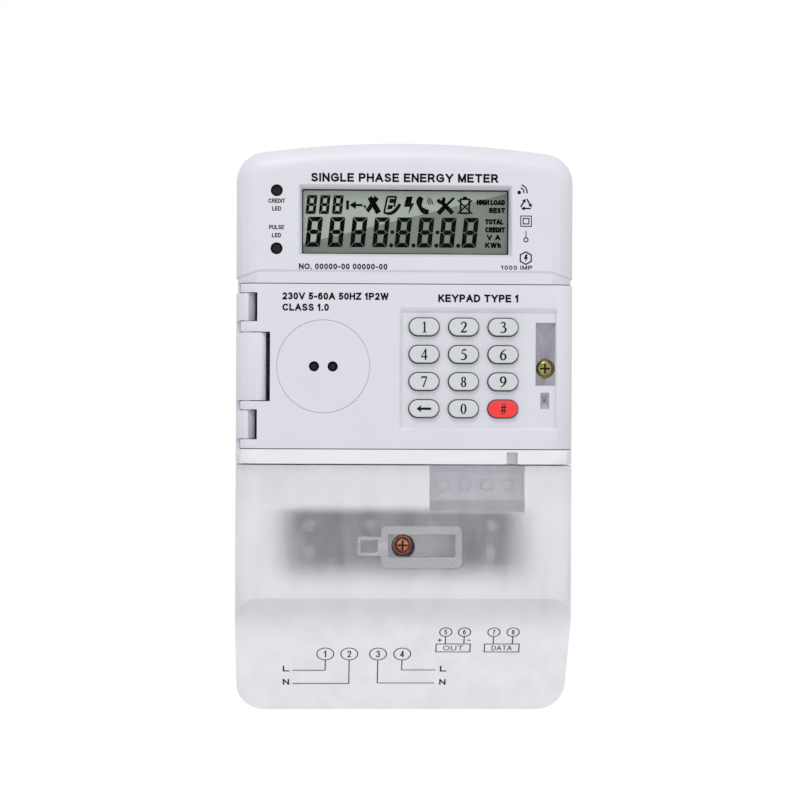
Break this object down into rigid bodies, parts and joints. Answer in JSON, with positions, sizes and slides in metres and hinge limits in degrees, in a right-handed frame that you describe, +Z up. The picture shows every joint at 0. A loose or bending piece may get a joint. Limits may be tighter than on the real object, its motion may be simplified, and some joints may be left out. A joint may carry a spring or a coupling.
{
  "type": "prepaid electricity meter",
  "caption": "Wall-hung prepaid electricity meter with arched top, display, hinged keypad door, optical port and a translucent sloping terminal cover.",
  "frame": {"origin": "centre of the rear wall face", "axes": "+Z up, +X to the right seen from the front, front faces -Y"},
  "size_m": [0.118, 0.0684, 0.202],
  "materials": {
    "casing": "fine satin moulding",
    "door": "fine satin moulding",
    "cover": "frosted translucent polycarbonate",
    "window": "clear polycarbonate",
    "lcd": "grey-green display glass",
    "backlight": "white diffuser",
    "led_dark": "dark tinted lens",
    "keys": "matt keycap",
    "key_red": "matt keycap with red mark",
    "mat": "silicone",
    "board": "solder mask",
    "chips": "moulded epoxy",
    "zinc": "yellow zinc plated",
    "copper_screw": "copper toned plating",
    "steel": "plated steel",
    "brass": "machined",
    "copper": "copper strip",
    "block": "dark moulded thermoset",
    "aux_grey": "grey moulded plastic",
    "aux_block": "dark moulded plastic",
    "plunger": "nylon",
    "relay": "moulded case",
    "caps": "sleeved can",
    "disc": "coated disc",
    "module": "moulded case",
    "cell": "sleeved cell"
  },
  "bodies": {
    "casing": {"aux_screws": "steel", "aux_terminal_block": "aux_grey", "aux_terminals": "brass", "backup_battery": "cell", "battery_holder": "aux_block", "board_components": "chips", "board_screws": "steel", "busbars": "copper", "buzzer": "chips", "capacitors": "caps", "case_gasket": "mat", "case_screws": "steel", "comm_module": "module", "cover_screw_insert": "brass", "cover_switch": "aux_block", "current_shunt": "copper", "display_window": "window", "front_housing": "casing", "hanger_bracket": "steel", "hanger_rivets": "steel", "hinge_pin": "steel", "latching_relay": "relay", "lcd_backlight": "backlight", "lcd_glass": "lcd", "lcd_pins": "brass", "main_board": "board", "main_terminals": "brass", "module_connector": "chips", "neutral_link": "copper", "power_transformer": "relay", "pulse_led": "led_dark", "rear_case": "casing", "status_led": "led_dark", "terminal_block": "block", "terminal_clamp_screws": "steel", "varistor": "disc"},
    "door": {"keypad_door": "door", "door_back_cover": "door", "keypad_mat": "mat", "keypad_board": "board", "optical_port_ring": "steel", "optical_leds": "led_dark"},
    "cover": {"terminal_cover": "cover"},
    "door_washer": {"door_screw_washer": "zinc"},
    "door_screw": {"door_seal_screw": "zinc"},
    "cover_washer": {"cover_screw_washer": "copper_screw"},
    "cover_screw_turned": {"cover_screw": "copper_screw"},
    "switch_plunger": {"cover_switch_plunger": "plunger"},
    "key_0_body": {"key_0": "keys"},
    "key_1_body": {"key_1": "keys"},
    "key_2_body": {"key_2": "keys"},
    "key_3_body": {"key_3": "keys"},
    "key_4_body": {"key_4": "keys"},
    "key_5_body": {"key_5": "keys"},
    "key_6_body": {"key_6": "keys"},
    "key_7_body": {"key_7": "keys"},
    "key_8_body": {"key_8": "keys"},
    "key_9_body": {"key_9": "keys"},
    "key_hash_body": {"key_hash": "key_red"},
    "key_left_body": {"key_left": "keys"}
  },
  "joints": [
    {"name": "door_hinge", "type": "hinge", "parent": "casing", "child": "door", "pos_m": [-0.0548, -0.0641, 0.0226], "axis": [0, 0, -1], "range_deg": [0, 100]},
    {"name": "cover_pull_off", "type": "slide", "parent": "casing", "child": "cover", "axis": [0, -1, 0], "range_m": [0, 0.06]},
    {"name": "door_screw_travel", "type": "slide", "parent": "door", "child": "door_washer", "axis": [0, -1, 0], "range_m": [0, 0.0035]},
    {"name": "door_screw_turn", "type": "hinge", "parent": "door_washer", "child": "door_screw", "pos_m": [0.0492, -0.0625, 0.0222], "axis": [0, -1, 0], "range_deg": [0, 1800]},
    {"name": "cover_screw_travel", "type": "slide", "parent": "cover", "child": "cover_washer", "axis": [0, -1, 0], "range_m": [0, 0.0035]},
    {"name": "cover_screw_turn", "type": "hinge", "parent": "cover_washer", "child": "cover_screw_turned", "pos_m": [0, -0.05, -0.0405], "axis": [0, -1, 0], "range_deg": [0, 1800]},
    {"name": "cover_switch_press", "type": "slide", "parent": "casing", "child": "switch_plunger", "axis": [0, 1, 0], "range_m": [0, 0.0008], "stiffness_N_per_m": 300},
    {"name": "press_key_0", "type": "slide", "parent": "door", "child": "key_0_body", "axis": [0, 1, 0], "range_m": [0, 0.001], "stiffness_N_per_m": 400},
    {"name": "press_key_1", "type": "slide", "parent": "door", "child": "key_1_body", "axis": [0, 1, 0], "range_m": [0, 0.001], "stiffness_N_per_m": 400},
    {"name": "press_key_2", "type": "slide", "parent": "door", "child": "key_2_body", "axis": [0, 1, 0], "range_m": [0, 0.001], "stiffness_N_per_m": 400},
    {"name": "press_key_3", "type": "slide", "parent": "door", "child": "key_3_body", "axis": [0, 1, 0], "range_m": [0, 0.001], "stiffness_N_per_m": 400},
    {"name": "press_key_4", "type": "slide", "parent": "door", "child": "key_4_body", "axis": [0, 1, 0], "range_m": [0, 0.001], "stiffness_N_per_m": 400},
    {"name": "press_key_5", "type": "slide", "parent": "door", "child": "key_5_body", "axis": [0, 1, 0], "range_m": [0, 0.001], "stiffness_N_per_m": 400},
    {"name": "press_key_6", "type": "slide", "parent": "door", "child": "key_6_body", "axis": [0, 1, 0], "range_m": [0, 0.001], "stiffness_N_per_m": 400},
    {"name": "press_key_7", "type": "slide", "parent": "door", "child": "key_7_body", "axis": [0, 1, 0], "range_m": [0, 0.001], "stiffness_N_per_m": 400},
    {"name": "press_key_8", "type": "slide", "parent": "door", "child": "key_8_body", "axis": [0, 1, 0], "range_m": [0, 0.001], "stiffness_N_per_m": 400},
    {"name": "press_key_9", "type": "slide", "parent": "door", "child": "key_9_body", "axis": [0, 1, 0], "range_m": [0, 0.001], "stiffness_N_per_m": 400},
    {"name": "press_key_hash", "type": "slide", "parent": "door", "child": "key_hash_body", "axis": [0, 1, 0], "range_m": [0, 0.001], "stiffness_N_per_m": 400},
    {"name": "press_key_left", "type": "slide", "parent": "door", "child": "key_left_body", "axis": [0, 1, 0], "range_m": [0, 0.001], "stiffness_N_per_m": 400}
  ],
  "couplings": [
    {"joint": "door_screw_turn", "follows": "door_screw_travel", "rad_per_m": 8976},
    {"joint": "cover_screw_turn", "follows": "cover_screw_travel", "rad_per_m": 8976}
  ]
}
